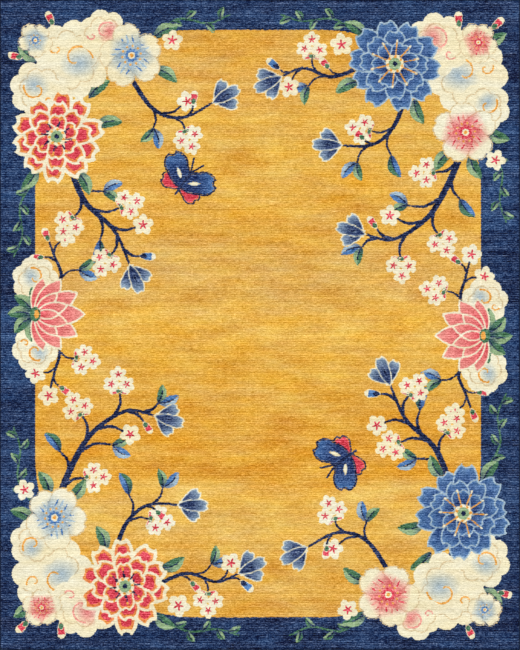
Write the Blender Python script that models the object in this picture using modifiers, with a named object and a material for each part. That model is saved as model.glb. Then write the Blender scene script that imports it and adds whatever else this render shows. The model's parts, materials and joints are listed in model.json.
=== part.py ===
"""Hand-tufted wool rug, lying flat: one tufted panel with a serged yarn edge.

Metres, +Z up, the rug's length along Y. The origin is the middle of its underside.
"""

import math

import bmesh
import bpy
from mathutils import Matrix

# The whole rug
RUG_WIDTH = 2.438
RUG_LENGTH = 3.048

# The tufted panel: backing cloth and cut pile, rounded over at its rim
PANEL_THICKNESS = 0.014
PANEL_RIM_RADIUS = 0.006
PANEL_RIM_STEPS = 4

# The serged edge: yarn whipped over a cord along each side, mitred at the corners
SERGING_WIDTH = 0.007
SERGING_HEIGHT = 0.010
SERGING_TOP_RADIUS = 0.0033
SERGING_FOOT_RADIUS = 0.0012
SERGING_STEPS = 4

# The clearance between touching pieces
CLEARANCE = 0.0003

# Yarn colours as seen, in sRGB
GOLD_WOOL = (0.867, 0.671, 0.302)
NAVY_YARN = (0.110, 0.176, 0.310)
WOOL_ROUGHNESS = 0.95
YARN_ROUGHNESS = 0.85


def clear_scene():
    for old_object in list(bpy.data.objects):
        bpy.data.objects.remove(old_object, do_unlink=True)


def rug_collection():
    collection = bpy.data.collections.new("hand_tufted_rug")
    bpy.context.scene.collection.children.link(collection)
    return collection


def linear_from_srgb(colour):
    def channel(value):
        if value <= 0.04045:
            return value / 12.92
        return ((value + 0.055) / 1.055) ** 2.4
    return tuple(channel(value) for value in colour) + (1.0,)


def wool_material(name, colour, roughness):
    material = bpy.data.materials.new(name)
    material.use_nodes = True
    shader = material.node_tree.nodes["Principled BSDF"]
    shader.inputs["Base Color"].default_value = linear_from_srgb(colour)
    shader.inputs["Roughness"].default_value = roughness
    shader.inputs["Metallic"].default_value = 0.0
    return material


def block(width, length, height):
    """A box standing on the plane Z = 0, centred on the Z axis."""
    mesh = bmesh.new()
    bmesh.ops.create_cube(mesh, size=1.0)
    size = Matrix.Diagonal((width, length, height, 1.0))
    lift = Matrix.Translation((0.0, 0.0, height / 2))
    bmesh.ops.transform(mesh, matrix=lift @ size, verts=mesh.verts)
    return mesh


def weigh_edges(mesh, runs_along, height, weight):
    """Give the level edges at one height, along the chosen axes, a bevel weight."""
    weights = mesh.edges.layers.float.get("bevel_weight_edge")
    if weights is None:
        weights = mesh.edges.layers.float.new("bevel_weight_edge")
    for edge in mesh.edges:
        ends = [vertex.co for vertex in edge.verts]
        level = all(abs(end.z - height) < CLEARANCE for end in ends)
        span = ends[1] - ends[0]
        along = "X" if abs(span.x) > abs(span.y) else "Y"
        if level and along in runs_along:
            edge[weights] = weight


def finished_object(name, mesh, material, collection, bevel_width, bevel_steps):
    data = bpy.data.meshes.new(name)
    mesh.to_mesh(data)
    mesh.free()
    data.materials.append(material)
    piece = bpy.data.objects.new(name, data)
    collection.objects.link(piece)
    bevel = piece.modifiers.new("rounded_edges", "BEVEL")
    bevel.limit_method = "WEIGHT"
    bevel.width = bevel_width
    bevel.segments = bevel_steps
    data.shade_smooth()
    data.set_sharp_from_angle(angle=math.radians(40))
    return piece


def tufted_panel(material, collection):
    """The pile and its backing as one flat slab whose upper rim is rounded over."""
    margin = 2 * (SERGING_WIDTH + CLEARANCE)
    mesh = block(RUG_WIDTH - margin, RUG_LENGTH - margin, PANEL_THICKNESS)
    weigh_edges(mesh, "XY", PANEL_THICKNESS, 1.0)
    return finished_object("tufted_panel", mesh, material, collection,
                           PANEL_RIM_RADIUS, PANEL_RIM_STEPS)


def serging_side(name, length, distance, turn, material, collection):
    """One side of the serged edge: a rounded bar whose ends are mitred.

    The bar is made along X with its outer face towards +Y, then turned about Z
    and moved out to its side of the rug.
    """
    mesh = block(length, SERGING_WIDTH, SERGING_HEIGHT)
    joint_setback = CLEARANCE * math.sqrt(0.5)
    for vertex in mesh.verts:
        mitre = joint_setback if vertex.co.y > 0 else joint_setback + SERGING_WIDTH
        vertex.co.x -= math.copysign(mitre, vertex.co.x)
    weigh_edges(mesh, "X", SERGING_HEIGHT, 1.0)
    weigh_edges(mesh, "X", 0.0, SERGING_FOOT_RADIUS / SERGING_TOP_RADIUS)
    piece = finished_object(name, mesh, material, collection,
                            SERGING_TOP_RADIUS, SERGING_STEPS)
    centre_line = distance - SERGING_WIDTH / 2
    piece.rotation_euler = (0.0, 0.0, turn)
    piece.location = (-centre_line * math.sin(turn), centre_line * math.cos(turn), 0.0)
    return piece


def serged_edge(material, collection):
    half_width = RUG_WIDTH / 2
    half_length = RUG_LENGTH / 2
    serging_side("serging_head", RUG_WIDTH, half_length, 0.0, material, collection)
    serging_side("serging_left", RUG_LENGTH, half_width, math.pi / 2, material, collection)
    serging_side("serging_foot", RUG_WIDTH, half_length, math.pi, material, collection)
    serging_side("serging_right", RUG_LENGTH, half_width, -math.pi / 2, material, collection)


def main():
    clear_scene()
    collection = rug_collection()
    pile = wool_material("gold_wool_pile", GOLD_WOOL, WOOL_ROUGHNESS)
    serging = wool_material("navy_serging_yarn", NAVY_YARN, YARN_ROUGHNESS)
    tufted_panel(pile, collection)
    serged_edge(serging, collection)


main()
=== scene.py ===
"""Looks of a hand-tufted wool rug: its tufted panel, its whipped edge and the stage.

The pile is modelled row by row, and each spot of it carries the distance to the edge of
every yarn's ground, so that flowers, leaves and branches keep crisp edges in one flat pile.
"""

import json
import math

import bpy
import numpy as np
from bpy.props import FloatProperty, FloatVectorProperty, IntProperty, PointerProperty
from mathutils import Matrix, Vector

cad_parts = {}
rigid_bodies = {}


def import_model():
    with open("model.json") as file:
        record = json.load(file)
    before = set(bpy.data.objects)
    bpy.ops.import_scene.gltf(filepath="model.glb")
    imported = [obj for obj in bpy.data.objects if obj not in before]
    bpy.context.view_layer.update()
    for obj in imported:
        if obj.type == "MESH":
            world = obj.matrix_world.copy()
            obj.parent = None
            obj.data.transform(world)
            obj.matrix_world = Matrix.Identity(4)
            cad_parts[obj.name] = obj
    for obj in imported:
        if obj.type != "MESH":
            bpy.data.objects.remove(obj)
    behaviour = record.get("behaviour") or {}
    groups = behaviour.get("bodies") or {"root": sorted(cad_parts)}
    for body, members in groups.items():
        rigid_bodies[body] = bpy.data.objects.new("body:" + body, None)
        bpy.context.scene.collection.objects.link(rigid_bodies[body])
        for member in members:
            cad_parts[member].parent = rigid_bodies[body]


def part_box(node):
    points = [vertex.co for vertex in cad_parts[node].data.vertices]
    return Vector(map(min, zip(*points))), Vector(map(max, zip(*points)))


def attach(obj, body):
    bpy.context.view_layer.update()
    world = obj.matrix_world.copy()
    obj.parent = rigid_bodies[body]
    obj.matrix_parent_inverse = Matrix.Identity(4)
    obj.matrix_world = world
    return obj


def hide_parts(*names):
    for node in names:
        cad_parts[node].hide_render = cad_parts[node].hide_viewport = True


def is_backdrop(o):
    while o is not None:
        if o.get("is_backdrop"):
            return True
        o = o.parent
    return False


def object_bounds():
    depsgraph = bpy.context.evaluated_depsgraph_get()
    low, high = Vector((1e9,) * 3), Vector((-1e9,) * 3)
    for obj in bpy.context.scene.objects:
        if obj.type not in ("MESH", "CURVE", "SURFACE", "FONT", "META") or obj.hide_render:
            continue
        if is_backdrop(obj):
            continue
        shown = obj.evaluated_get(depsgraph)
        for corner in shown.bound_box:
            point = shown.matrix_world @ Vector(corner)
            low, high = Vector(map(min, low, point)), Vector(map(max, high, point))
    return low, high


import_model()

CAD_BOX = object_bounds()

bl_info = {
    "name": "Hand-tufted rug",
    "version": (1, 0, 0),
    "blender": (4, 5, 0),
    "location": "3D View > Sidebar > Rug",
    "description": "Tufts a flowered wool rug, whips its edge and sets its stage",
    "category": "Object",
}

# The panel and the whole rug, taken from the frame
PANEL_LOW, PANEL_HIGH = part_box("tufted_panel")
RUG_LOW, RUG_HIGH = CAD_BOX

# The sides of the edge, each a quarter turn on from the one before it
EDGE_SIDES = ("head", "left", "foot", "right")

# The gold field's outline inside the navy border
FIELD_LEFT, FIELD_RIGHT = -1.050, 1.032
FIELD_FOOT, FIELD_HEAD = -1.365, 1.379
FIELD_CORNER = 0.75

# Yarns in the order in which they are laid over each other, the navy ground first
YARNS = ("navy", "gold", "cream", "sand", "sky", "denim",
         "fern", "sage", "amber", "rose", "coral", "ink")
WASHES = ("sky_wash", "coral_wash", "ink_wash")

# What the pile's surface gives each spot beside the chart: streaks, which also carry the painted shade
# of the furrows, and the dye's slow changes
DYES_AND_FURROW_SHADE = ("streak", "paleness", "brightness")

# The chart: how far a distance to an edge is counted, how softly washes end, how much larger
# than a motif its patch of spots is, and the room beside a stroke
FAR = 0.05
WASH_EDGE = 0.004
PATCH_ROOM = 1.3
STROKE_ROOM = 0.02
CHART_SEED = 7

# Keeps a number that something is divided by off zero
TINY = 1e-6

# Streaks of unevenly spun wool along the rows. Columns: spots from one change to the next, strength
STREAKS = ((3, 0.32), (8, 0.38), (24, 0.40))

# How far a line strays from the others in paleness, and the painted shade between rows: how much paler
# crests are painted than furrows
ROW_DIFFERENCE = 0.35
CREST_AND_FURROW_PAINTED_SHADE = 1.15

# Spots along a row from one change to the next, for the pile's swell and the rows' wandering
SWELL_SPOTS = 9
STRAY_SPOTS = 24
PILE_SEED = 11

# Where the two lines inside the panel's rim lie, in rim radii
RIM_LINES = (0.25, 0.85)

# Abrash, the dye's slow change along the rug. Columns: place from foot to head, paleness, brightness
ABRASH = ((-1.52, 0.0, -0.4), (-1.25, 0.0, -0.6), (-1.08, 0.2, -0.3), (-0.92, 1.3, 0.0),
          (-0.80, 1.1, 0.3), (-0.70, -1.2, 0.2), (-0.50, -1.2, 0.1), (-0.36, -0.2, 0.0),
          (-0.20, 0.1, 0.7), (0.02, 0.4, 0.8), (0.14, 0.8, -1.0), (0.32, 0.9, -0.9),
          (0.44, -0.3, 0.0), (0.62, 0.1, 0.3), (0.82, 0.6, 0.6), (1.02, 0.7, 0.2),
          (1.14, 0.1, -1.2), (1.26, -0.3, -0.6), (1.40, -0.2, 0.0), (1.52, 0.0, 0.0))
ABRASH_SPOTS = 75
ABRASH_STRAY = 0.06

# The band's map: the room at its sides, the walls' strips, the underside's strip and the top's
MAP_SIDE = 0.002
WALL_START, WALL_STEP, WALL_STRIP = 0.004, 0.012, 0.008
UNDER_START, UNDER_STRIP = 0.06, 0.03
TOP_START, TOP_STRIP = 0.10, 0.898

# Angles above which an edge between faces looks sharp
PANEL_CREASE = math.radians(70)
YARN_CREASE = math.radians(60)

# Faces whose normal's height is below this are the underside
FACING_DOWN = -0.9

# The whipped yarn: corners round its section, spare turns for the mitres, and the distance at
# which turns are joined
YARN_CORNERS = 10
SPARE_TURNS = 4
JOINING = 0.0001

# The stage: the floor's gap under the rug, the key light and the surrounding light's colour
FLOOR_GAP = 0.0005
SUN_PLACE = (-2.0, 3.0, 5.0)
SUN_TILT = (math.radians(-32), math.radians(-20), 0.0)
SUN_SOFTNESS = math.radians(25)
SURROUND_COLOUR = (1.0, 0.99, 0.97, 1.0)


# Properties


def colour_property(label, colour, use):
    return FloatVectorProperty(name=label, description=use, default=colour,
                               subtype="COLOR_GAMMA", size=3, min=0.0, max=1.0)


def length_property(label, length, use):
    return FloatProperty(name=label, description=use, default=length, unit="LENGTH")


def share_property(label, share, use):
    return FloatProperty(name=label, description=use, default=share, subtype="FACTOR")


class RugYarns(bpy.types.PropertyGroup):
    """Colours of the dyed yarns, as seen."""

    navy: colour_property("Navy", (0.132, 0.218, 0.376), "Ground of the border")
    gold: colour_property("Gold", (0.894, 0.680, 0.294), "Ground of the field")
    cream: colour_property("Cream", (0.955, 0.922, 0.792), "Puffs, blossoms and petal rims")
    sand: colour_property("Sand", (0.870, 0.790, 0.630), "Lines worked inside cream")
    sky: colour_property("Sky", (0.660, 0.750, 0.810), "Rims of blue petals")
    denim: colour_property("Denim", (0.330, 0.500, 0.720), "Blue petals and leaves")
    fern: colour_property("Fern", (0.300, 0.470, 0.350), "Dark halves of leaves")
    sage: colour_property("Sage", (0.585, 0.695, 0.525), "Light halves of leaves")
    amber: colour_property("Amber", (0.930, 0.650, 0.290), "Petal bands and scrolls")
    rose: colour_property("Rose", (0.940, 0.630, 0.580), "Pink petals")
    coral: colour_property("Coral", (0.850, 0.270, 0.340), "Hearts and buds")
    ink: colour_property("Ink", (0.100, 0.150, 0.300), "Branches and ribs")
    edge: colour_property("Edge", (0.105, 0.165, 0.285), "Yarn whipped over the edge")
    backing: colour_property("Backing", (0.800, 0.745, 0.630), "Cotton cloth on the underside")
    sky_wash: colour_property("Sky wash", (0.500, 0.630, 0.760), "Blue blended into petals")
    coral_wash: colour_property("Coral wash", (0.850, 0.270, 0.320), "Coral blended into petals")
    ink_wash: colour_property("Ink wash", (0.100, 0.160, 0.340), "Dark blue blended into petals")


class RugPile(bpy.types.PropertyGroup):
    """Make of the tufted pile."""

    rows: IntProperty(name="Rows", description="Rows of tufts from foot to head", default=276, min=8)
    spots: IntProperty(name="Spots", description="Spots along a row", default=600, min=20)
    bands: IntProperty(name="Bands", description="Bands that the panel is worked in", default=4, min=1)
    furrow: length_property("Furrow", 0.0011, "Depth between two rows")
    unevenness: length_property("Unevenness", 0.0004, "How far tufts stand above each other")
    wander: length_property("Wander", 0.0008, "How far a row strays to either side")
    rim: length_property("Rim", 0.006, "Radius at which the pile rounds over at its rim")
    edge_softness: length_property("Edge softness", 0.0022, "Blend between two yarns")
    # The streaks' strength also scales the painted shade in the furrows
    streaks: share_property("Streaks", 0.135, "Strength of the streaks along the rows")
    abrash: share_property("Abrash", 1.0, "Strength of the dye's slow changes")
    fibre: length_property("Fibre", 0.0012, "Height of the fine fibre relief")


class RugEdge(bpy.types.PropertyGroup):
    """Make of the whipped edge."""

    wrap: length_property("Wrap", 0.0045, "Width of one turn of yarn")
    waist: share_property("Waist", 0.84, "Size between two turns, as a share")
    lean: FloatProperty(name="Lean", description="Angle at which the turns lean",
                        default=math.radians(13), subtype="ANGLE")
    squash: length_property("Squash", 0.0012, "How far the foot of the turns is flattened")


class RugStage(bpy.types.PropertyGroup):
    """Floor, light and camera."""

    floor_colour: colour_property("Floor", (0.900, 0.890, 0.870), "Colour of the floor")
    floor_size: length_property("Floor size", 400.0, "Side of the floor")
    lens: FloatProperty(name="Lens", description="Focal length in millimetres", default=85.0)
    overlap: length_property("Overlap", 0.003, "How far the rug runs past the picture's edge")
    sun: FloatProperty(name="Sun", description="Strength of the soft key light", default=1.97)
    sky_light: FloatProperty(name="Surround", description="Strength of the surrounding light",
                             default=0.50)


# The yarn chart


def oval(along, across, half_length, half_width):
    """Distance to an oval's edge, negative inside."""
    ratio = np.hypot(along / half_length, across / half_width)
    slope = np.hypot(along / half_length ** 2, across / half_width ** 2) / np.maximum(ratio, TINY)
    return (ratio - 1) / np.maximum(slope, 1 / half_length)


def blade(along, across, length, width):
    """Distance to the edge of a shape with a point at each end, from 0 to length."""
    half = width / 2
    arc = (length * length / 4 + half * half) / width
    return np.hypot(np.abs(across) + arc - half, along - length / 2) - arc


def petal(along, across, length, width, notch=0.0):
    """Distance to the edge of a round-ended petal, from 0 to length, with a notch of a radius."""
    widest = 0.62 * length
    head = oval(along - widest, across, 0.38 * length, width / 2)
    neck = blade(along + 0.25 * length, across, 1.35 * length, 0.92 * width)
    whole = np.minimum(head, np.maximum(neck, along - widest))
    if notch:
        whole = np.maximum(whole, notch - np.hypot(along - 1.01 * length, across))
    return whole


def lobed(along, across, radius, lobes, depth, fullness=0.7, slope=0.93):
    """Distance to the edge of a round shape with lobes about it, evened out by the edge's slope."""
    bearing = np.arctan2(across, along)
    edge = radius * (1 - depth + depth * np.abs(np.cos(bearing * lobes / 2)) ** fullness)
    return (np.hypot(along, across) - edge) * slope


def field_edge(x, y):
    """Distance to the gold field's outline, a rectangle with large round corners."""
    middle_x, middle_y = (FIELD_LEFT + FIELD_RIGHT) / 2, (FIELD_FOOT + FIELD_HEAD) / 2
    out_x = np.abs(x - middle_x) - (FIELD_RIGHT - FIELD_LEFT) / 2 + FIELD_CORNER
    out_y = np.abs(y - middle_y) - (FIELD_HEAD - FIELD_FOOT) / 2 + FIELD_CORNER
    corner = np.hypot(np.maximum(out_x, 0), np.maximum(out_y, 0))
    return corner + np.minimum(np.maximum(out_x, out_y), 0) - FIELD_CORNER


def smooth_path(points, steps=8):
    """Points along a smooth curve through the given ones."""
    points = np.asarray(points, float)
    ends = np.vstack([2 * points[0] - points[1], points, 2 * points[-1] - points[-2]])
    path = []
    for a, b, c, d in zip(ends, ends[1:], ends[2:], ends[3:]):
        for t in np.linspace(0, 1, steps, endpoint=False):
            bend = (2 * a - 5 * b + 4 * c - d) * t ** 2 + (3 * b - a - 3 * c + d) * t ** 3
            path.append(0.5 * (2 * b + (c - a) * t + bend))
    path.append(points[-1])
    return np.array(path)


class YarnChart:
    """Which yarn each spot of the pile is tufted in.

    For every yarn it keeps the distance to that yarn's edge, negative inside. A mirror
    of (1, 1) works motifs as given, and -1 works them mirrored in that direction.
    """

    def __init__(self, columns, rows):
        self.columns, self.rows = columns, rows
        shape = (len(rows), len(columns))
        self.edge = {yarn: np.full(shape, FAR) for yarn in YARNS[1:]}
        self.wash = {wash: np.zeros(shape) for wash in WASHES}
        self.mirror = (1, 1)
        self.dice = np.random.default_rng(CHART_SEED)

    def spots(self, low, high):
        """The patch of spots between two corners, and their x and y before mirroring."""
        patch = []
        for line, sign, first, last in zip((self.columns, self.rows), self.mirror, low, high):
            ends = sorted((sign * first, sign * last))
            patch.append(slice(*np.searchsorted(line, ends)))
        across, up = patch
        x = self.mirror[0] * self.columns[across][None, :]
        y = self.mirror[1] * self.rows[up][:, None]
        return (up, across), x, y

    def around(self, place, size):
        """The patch about a motif of a size, in coordinates along and across its heading."""
        x0, y0, heading = place
        reach = PATCH_ROOM * size
        patch, x, y = self.spots((x0 - reach, y0 - reach), (x0 + reach, y0 + reach))
        c, s = math.cos(heading), math.sin(heading)
        return patch, (x - x0) * c + (y - y0) * s, (y - y0) * c - (x - x0) * s

    def tuft(self, yarn, patch, distance):
        """Work a shape in one yarn over whatever the patch holds."""
        self.edge[yarn][patch] = np.minimum(self.edge[yarn][patch], distance)
        for over in YARNS[YARNS.index(yarn) + 1:]:
            self.edge[over][patch] = np.maximum(self.edge[over][patch], -distance)
        for wash in WASHES:
            self.wash[wash][patch] *= np.clip(0.5 + distance / WASH_EDGE, 0, 1)

    def blend(self, wash, patch, amount, distance):
        """Blend a second colour into a shape, by an amount from 0 to 1."""
        inside = np.clip(0.5 - distance / WASH_EDGE, 0, 1)
        self.wash[wash][patch] = np.maximum(self.wash[wash][patch], np.clip(amount, 0, 1) * inside)

    def stroke(self, yarn, path, start_width, end_width):
        """Work a tapering line along a path."""
        path = np.asarray(path, float)
        room = max(start_width, end_width) / 2 + STROKE_ROOM
        patch, x, y = self.spots(path.min(0) - room, path.max(0) + room)
        distance = np.full(np.broadcast(x, y).shape, FAR)
        halves = np.linspace(start_width, end_width, len(path)) / 2
        for a, b, near, far in zip(path, path[1:], halves, halves[1:]):
            run = b - a
            share = ((x - a[0]) * run[0] + (y - a[1]) * run[1]) / max(run @ run, TINY ** 2)
            share = np.clip(share, 0, 1)
            gap = np.hypot(x - a[0] - share * run[0], y - a[1] - share * run[1])
            distance = np.minimum(distance, gap - near - (far - near) * share)
        self.tuft(yarn, patch, distance)


# Flowers, leaves and other motifs, their parts in shares of their own length or radius

# Petals' colourways: yarns from the rim inwards, the wash that deepens them towards the heart,
# the yarn of the dart at the heart, and for some the wash at the tip
CORAL_WAY = {"rim": "cream", "band": "amber", "core": "coral", "wash": "coral_wash", "dart": "ink"}
ROSE_WAY = {"rim": "cream", "band": "rose", "wash": "coral_wash"}
BLUE_WAY = {"rim": "sky", "band": "denim", "core": "denim", "wash": "ink_wash", "dart": "ink",
            "tip": "sky_wash"}
TIP_WAY = {"rim": "cream", "band": "sky", "core": "sky", "wash": "ink_wash", "dart": "ink"}
WING_WAY = {"rim": "ink", "band": "denim", "core": "denim", "wash": "ink_wash", "dart": "cream"}
TAIL_WAY = {"rim": "ink", "band": "amber", "core": "coral", "wash": "coral_wash", "dart": "cream"}

# A rosette's rings of petals. Columns: petals, length, width
ROSETTE_RINGS = ((10, 1.0, 0.50), (8, 0.76, 0.46), (6, 0.50, 0.38))

# Rosettes: each ring's rim and half the width of a spoke in metres, and the spokes' reach
CORAL_ROSETTE = {"petals": CORAL_WAY, "rims": (0.017, 0.013, 0.010), "spokes": 8, "reach": 0.36,
                 "half_spoke": 0.0036, "spoke": "ink", "anther": "amber"}
BLUE_ROSETTE = {"petals": BLUE_WAY, "rims": (0.008, 0.008, 0.007), "spokes": 10, "reach": 0.48,
                "half_spoke": 0.0038, "spoke": "amber", "anther": "cream"}

# How uneven petals are: the spread of their bearings, and the least and most of length and width
ROSETTE_UNEVENNESS = (0.05, (0.93, 1.06), (0.95, 1.08))
BLOSSOM_UNEVENNESS = (0.06, (0.93, 1.05), (0.92, 1.05))

# Blossoms, by the wash of their petals. Columns: yarn of the heart and side veins, of the middle vein
BLOSSOM_YARNS = {"coral_wash": ("coral", "rose"), "sky_wash": ("denim", "sky")}

# Petals of a blossom or a floret, the radius from which petals have veins, and the flames
# across a petal's width
PETALS = 5
VEINED_FROM = 0.09
FLAMES = 2.5

# A lotus: its leaves' bearings in degrees, and its petals. Columns: bearing in degrees, length
LOTUS_LEAVES = (-98, 98, -138, 138, 180)
LOTUS_PETALS = ((-78, 0.80), (78, 0.80), (-54, 0.92), (54, 0.92), (-27, 1.0), (27, 1.0), (0, 1.05),
                (-44, 0.66), (44, 0.66), (-16, 0.72), (16, 0.72), (0, 0.52))

# Lines and rims in metres
BLOSSOM_RIM = 0.005
BUD_RIM = 0.003
LEAF_HALF_RIB = 0.0042
PUFF_HALF_LINE = 0.0036
LOTUS_RIM = 0.0085
BRANCH_TIP = 0.009
TWIG_TIP = 0.0085

CURL_WIDTH, SMALL_CURL_WIDTH = 0.0095, 0.008

# How far a twig turns off its branch, and how far it bows back, in radians
TWIG_TURN, TWIG_BOW = 0.85, 0.25

# A curl's turn in radians, how much of its radius it loses, and its points
CURL_TURN, CURL_LOSS, CURL_POINTS = 4.6, 0.80, 30

# A butterfly's wings. Columns: turn, length, width, colourway, rim
WINGS = ((1.9, 0.110, 0.085, TAIL_WAY, 0.007), (0.95, 0.160, 0.115, WING_WAY, 0.008))


def ahead(place, length, turn=0.0):
    """The place so far ahead of another one, at a turn from its heading."""
    x, y, heading = place
    heading += turn
    return x + length * math.cos(heading), y + length * math.sin(heading), heading


def fading(along, reach, start):
    """An amount that falls by 1 over a reach, from what it is at the root."""
    return start - along / reach


def uneven_petals(chart, place, start, count, length, width, unevenness):
    """The place, length and width of each petal in a ring about a flower's heart."""
    spread, lengths, widths = unevenness
    for number in range(count):
        bearing = start + math.tau * number / count + chart.dice.normal(0, spread)
        petal_length = length * chart.dice.uniform(*lengths)
        petal_width = width * chart.dice.uniform(*widths)
        yield (place[0], place[1], bearing), petal_length, petal_width


def work_petal(chart, place, length, width, way, rim, flame=0.0):
    """A notched petal with a rim, a band and a core that ends in small flames."""
    patch, along, across = chart.around(place, length)
    whole = petal(along, across, length, width, notch=0.10 * length)
    inside = whole + rim
    sway = FLAMES * math.pi * across / width
    licks = flame * length * np.abs(np.sin(sway))
    chart.tuft(way["rim"], patch, whole)
    chart.tuft(way["band"], patch, inside)
    chart.tuft(way["core"], patch, whole + 1.35 * rim + licks)
    chart.blend(way["wash"], patch, fading(along, 0.64 * length, 1.55), inside)
    if "tip" in way:
        streaked = 0.75 + 0.5 * np.sin(2 * sway)
        chart.blend(way["tip"], patch, (along / length - 0.66) * 2.6 * streaked, inside)
    dart = blade(along - 0.14 * length, across, 0.38 * length, 0.17 * width)
    chart.tuft(way["dart"], patch, dart)


def work_ring_of_dots(chart, place, radius, count, dot, yarn):
    """Round dots set evenly about a place."""
    patch, along, across = chart.around(place, radius + dot)
    for number in range(count):
        bearing = math.tau * (number + 0.5) / count
        spot = np.hypot(along - radius * math.cos(bearing), across - radius * math.sin(bearing))
        chart.tuft(yarn, patch, spot - dot)


def work_rosette(chart, place, radius, make):
    """A full round flower: three rings of overlapping petals about a tufted heart."""
    for (count, reach, breadth), rim in zip(ROSETTE_RINGS, make["rims"]):
        start = chart.dice.uniform(0, math.tau)
        for petal_place, length, width in uneven_petals(
                chart, place, start, count, radius * reach, radius * breadth, ROSETTE_UNEVENNESS):
            work_petal(chart, petal_place, length, width, make["petals"], rim, flame=0.035)
    spoke = radius * make["reach"]
    for number in range(make["spokes"]):
        bearing = start + math.tau * (number + 0.5) / make["spokes"]
        patch, along, across = chart.around((place[0], place[1], bearing), spoke)
        thread = np.maximum(np.abs(across) - make["half_spoke"], np.abs(along - spoke / 2) - spoke / 2)
        chart.tuft(make["spoke"], patch, thread)
        anther = oval(along - spoke, across, 0.040 * radius, 0.026 * radius)
        chart.tuft(make["anther"], patch, anther)
    patch, along, across = chart.around(place, 0.4 * radius)
    chart.tuft("cream", patch, lobed(along, across, 0.20 * radius, 8, 0.18))
    chart.tuft("sage", patch, np.hypot(along, across) - 0.13 * radius)
    work_ring_of_dots(chart, place, 0.15 * radius, 7, 0.030 * radius, "amber")
    chart.tuft("ink", patch, np.hypot(along, across) - 0.050 * radius)


def work_blossom(chart, place, radius, wash="coral_wash"):
    """An open cream flower of broad petals that flushes towards its heart."""
    heart, middle = BLOSSOM_YARNS[wash]
    # Columns: yarn, root, place to the side, length, width
    veins = ((middle, 0.25, 0.0, 0.40, 0.08),
             (heart, 0.30, -0.16, 0.28, 0.06),
             (heart, 0.30, 0.16, 0.28, 0.06)) if radius > VEINED_FROM else ()
    broad = radius * 4.6 / PETALS
    for petal_place, length, width in uneven_petals(
            chart, place, place[2], PETALS, radius, broad, BLOSSOM_UNEVENNESS):
        patch, along, across = chart.around(petal_place, length)
        whole = petal(along, across, length, width, notch=0.07 * length)
        chart.tuft("sand", patch, whole)
        chart.tuft("cream", patch, whole + BLOSSOM_RIM)
        chart.blend(wash, patch, fading(along, 0.55 * length, 1.25), whole)
        for yarn, *shares in veins:
            root, side, long, wide = (share * length for share in shares)
            chart.tuft(yarn, patch, blade(along - root, across - side, long, wide))
    patch, along, across = chart.around(place, 0.5 * radius)
    chart.tuft(heart, patch, lobed(along, across, 0.23 * radius, 2 * PETALS, 0.35))
    chart.tuft("cream", patch, np.hypot(along, across) - 0.11 * radius)
    work_ring_of_dots(chart, place, 0.29 * radius, 2 * PETALS, 0.040 * radius, "amber")
    chart.tuft("amber", patch, np.hypot(along, across) - 0.060 * radius)


def work_floret(chart, place, radius):
    """A small star of round petals with a star-shaped heart."""
    slope = 0.85
    patch, along, across = chart.around(place, radius)
    chart.tuft("cream", patch, lobed(along, across, radius, PETALS, 0.38, 0.8, slope))
    heart = radius * (0.27 + 0.20 * np.cos(np.arctan2(across, along) * PETALS))
    chart.tuft("coral", patch, (np.hypot(along, across) - heart) * slope)


def work_bud(chart, place, length, yarn="coral", sepal="fern"):
    """A round bud with a pale tip, standing on a pointed sepal."""
    patch, along, across = chart.around(place, length)
    bud = petal(along, across, length, 0.60 * length)
    chart.tuft("cream", patch, bud)
    chart.tuft(yarn, patch, np.maximum(bud + BUD_RIM, along - 0.70 * length))
    chart.tuft(sepal, patch, blade(along + 0.12 * length, across, 0.5 * length, 0.36 * length))


def work_leaf(chart, place, length, width, near, far):
    """A bent pointed leaf with a half in each of two yarns, and a rib."""
    patch, along, across = chart.around(place, length)
    across = across - 0.10 * length * np.sin(np.clip(along / length, 0, 1) * math.pi)
    whole = blade(along, across, length, width)
    chart.tuft(near, patch, whole)
    chart.tuft(far, patch, np.maximum(whole, -across))
    chart.blend("ink_wash", patch, fading(along, 0.55 * length, 0.9), whole)
    half_rib = 0.36 * length
    rib = np.abs(across) - LEAF_HALF_RIB * (1 - 0.5 * along / length)
    chart.tuft("ink", patch, np.maximum(rib, np.abs(along - half_rib) - half_rib))


def work_curl(chart, place, radius, yarn, width):
    """A line of scrollwork that curls inwards from its start."""
    share = np.linspace(0, 1, CURL_POINTS)
    bearing = place[2] + CURL_TURN * share
    reach = radius * (1 - CURL_LOSS * share)
    x = place[0] + reach * np.cos(bearing)
    y = place[1] + reach * np.sin(bearing)
    chart.stroke(yarn, np.stack((x, y), axis=1), width, 0.8 * width)


def work_puff(chart, place, radius, lobes, scroll="amber", haze="sky_wash"):
    """A cream lobed puff, outlined again inside, with a soft haze and a curl of scrollwork."""
    patch, along, across = chart.around(place, radius)
    outline = lobed(along, across, radius, lobes, 0.16)
    chart.tuft("cream", patch, outline)
    inner = lobed(along + 0.07 * radius, across, 0.74 * radius, lobes - 1, 0.20)
    open_side = -(along + 0.55 * radius)
    chart.tuft("sand", patch, np.maximum(np.abs(inner) - PUFF_HALF_LINE, open_side))
    spread = np.hypot(along - 0.20 * radius, (across + 0.12 * radius) * 1.3) / radius
    chart.blend(haze, patch, 0.80 - 1.5 * spread, outline)
    work_curl(chart, ahead(place, 0.12 * radius), 0.42 * radius, scroll, CURL_WIDTH)
    work_curl(chart, ahead(place, 0.48 * radius, turn=2.4), 0.19 * radius, scroll, SMALL_CURL_WIDTH)


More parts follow.
